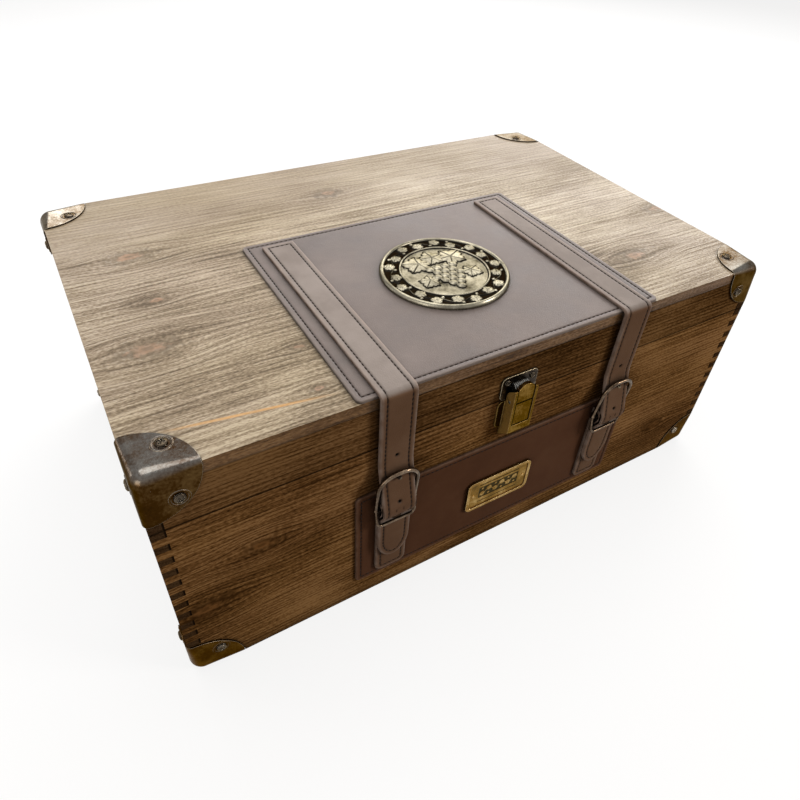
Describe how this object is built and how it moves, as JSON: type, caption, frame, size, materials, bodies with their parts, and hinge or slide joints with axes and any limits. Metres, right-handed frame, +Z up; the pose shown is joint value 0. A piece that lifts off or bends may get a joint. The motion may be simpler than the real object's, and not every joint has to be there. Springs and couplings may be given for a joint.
{
  "type": "wine case",
  "caption": "Hinged wooden wine case with finger-jointed boards, leather panels, buckled straps, a sprung lever latch and pressed metal corners.",
  "frame": {"origin": "under the middle of the wooden case, on the plane that the base corners stand on", "axes": "+X along the case to the right seen from the front, +Y from front to back, +Z up"},
  "size_m": [0.5062, 0.3448, 0.2106],
  "materials": {
    "wood": "stained, satin",
    "leather": "waxed, worn edges",
    "corner_metal": "antique bronze, rubbed",
    "screws": "aged",
    "brass": "antique, satin",
    "latch_steel": "dark, satin"
  },
  "bodies": {
    "base": {"base_front_board": "wood", "base_back_board": "wood", "base_left_board": "wood", "base_right_board": "wood", "base_bottom_board": "wood", "base_corner_left_front": "corner_metal", "base_corner_left_back": "corner_metal", "base_corner_right_front": "corner_metal", "base_corner_right_back": "corner_metal", "base_corner_screws": "screws", "front_panel": "leather", "lower_strap_left": "leather", "lower_strap_right": "leather", "name_plate": "brass", "name_plate_rivets": "brass", "latch_housing": "brass", "latch_pin": "latch_steel", "latch_spring": "latch_steel", "hinge_left_base_leaf": "corner_metal", "hinge_right_base_leaf": "corner_metal", "hinge_left_pin": "corner_metal", "hinge_right_pin": "corner_metal", "hinge_base_screws": "screws"},
    "lid": {"lid_front_rail": "wood", "lid_back_rail": "wood", "lid_left_rail": "wood", "lid_right_rail": "wood", "lid_top_board": "wood", "lid_corner_left_front": "corner_metal", "lid_corner_left_back": "corner_metal", "lid_corner_right_front": "corner_metal", "lid_corner_right_back": "corner_metal", "lid_corner_screws": "screws", "top_panel": "leather", "strap_left_upper": "leather", "strap_right_upper": "leather", "latch_lid_plate": "latch_steel", "latch_lid_screws": "screws", "latch_catch": "latch_steel", "hinge_left_lid_leaf": "corner_metal", "hinge_right_lid_leaf": "corner_metal", "hinge_lid_screws": "screws", "medallion": "brass"},
    "latch_lever": {"latch_lever": "brass"},
    "strap_left_bend": {"strap_left_bend": "leather"},
    "strap_left_tail": {"strap_left_tail": "leather"},
    "buckle_left": {"buckle_left_frame": "brass"},
    "prong_left": {"buckle_left_prong": "brass"},
    "strap_right_bend": {"strap_right_bend": "leather"},
    "strap_right_tail": {"strap_right_tail": "leather"},
    "buckle_right": {"buckle_right_frame": "brass"},
    "prong_right": {"buckle_right_prong": "brass"}
  },
  "joints": [
    {"name": "lid_hinge", "type": "hinge", "parent": "base", "child": "lid", "pos_m": [0, 0.166, 0.1622], "axis": [-1, 0, 0], "range_deg": [0, 105]},
    {"name": "latch_lever", "type": "hinge", "parent": "base", "child": "latch_lever", "pos_m": [0.001, -0.1682, 0.1637], "axis": [1, 0, 0], "range_deg": [0, 10], "stiffness_Nm_per_rad": 0.05, "deforming": ["latch_spring"]},
    {"name": "strap_left_drape", "type": "hinge", "parent": "lid", "child": "strap_left_bend", "pos_m": [-0.0975, -0.16675, 0.1612], "axis": [-1, 0, 0], "range_deg": [-80, 0], "deforming": ["strap_left_bend"]},
    {"name": "strap_left_lift", "type": "hinge", "parent": "strap_left_bend", "child": "strap_left_tail", "pos_m": [-0.0975, -0.16675, 0.1527], "axis": [-1, 0, 0], "range_deg": [0, 100], "deforming": ["strap_left_tail"]},
    {"name": "buckle_left_swing", "type": "hinge", "parent": "base", "child": "buckle_left", "pos_m": [-0.0975, -0.1692, 0.108], "axis": [1, 0, 0], "range_deg": [0, 7]},
    {"name": "buckle_left_prong", "type": "hinge", "parent": "buckle_left", "child": "prong_left", "pos_m": [-0.0975, -0.1692, 0.108], "axis": [1, 0, 0], "range_deg": [0, 80]},
    {"name": "strap_right_drape", "type": "hinge", "parent": "lid", "child": "strap_right_bend", "pos_m": [0.102, -0.16675, 0.1612], "axis": [-1, 0, 0], "range_deg": [-80, 0], "deforming": ["strap_right_bend"]},
    {"name": "strap_right_lift", "type": "hinge", "parent": "strap_right_bend", "child": "strap_right_tail", "pos_m": [0.102, -0.16675, 0.1527], "axis": [-1, 0, 0], "range_deg": [0, 100], "deforming": ["strap_right_tail"]},
    {"name": "buckle_right_swing", "type": "hinge", "parent": "base", "child": "buckle_right", "pos_m": [0.102, -0.1692, 0.108], "axis": [1, 0, 0], "range_deg": [0, 7]},
    {"name": "buckle_right_prong", "type": "hinge", "parent": "buckle_right", "child": "prong_right", "pos_m": [0.102, -0.1692, 0.108], "axis": [1, 0, 0], "range_deg": [0, 80]}
  ],
  "couplings": [
    {"joint": "strap_left_drape", "follows": "lid_hinge", "ratio": -0.75},
    {"joint": "buckle_left_swing", "follows": "strap_left_lift", "ratio": 0.07},
    {"joint": "buckle_left_prong", "follows": "strap_left_lift", "ratio": 0.8},
    {"joint": "strap_right_drape", "follows": "lid_hinge", "ratio": -0.75},
    {"joint": "buckle_right_swing", "follows": "strap_right_lift", "ratio": 0.07},
    {"joint": "buckle_right_prong", "follows": "strap_right_lift", "ratio": 0.8}
  ]
}
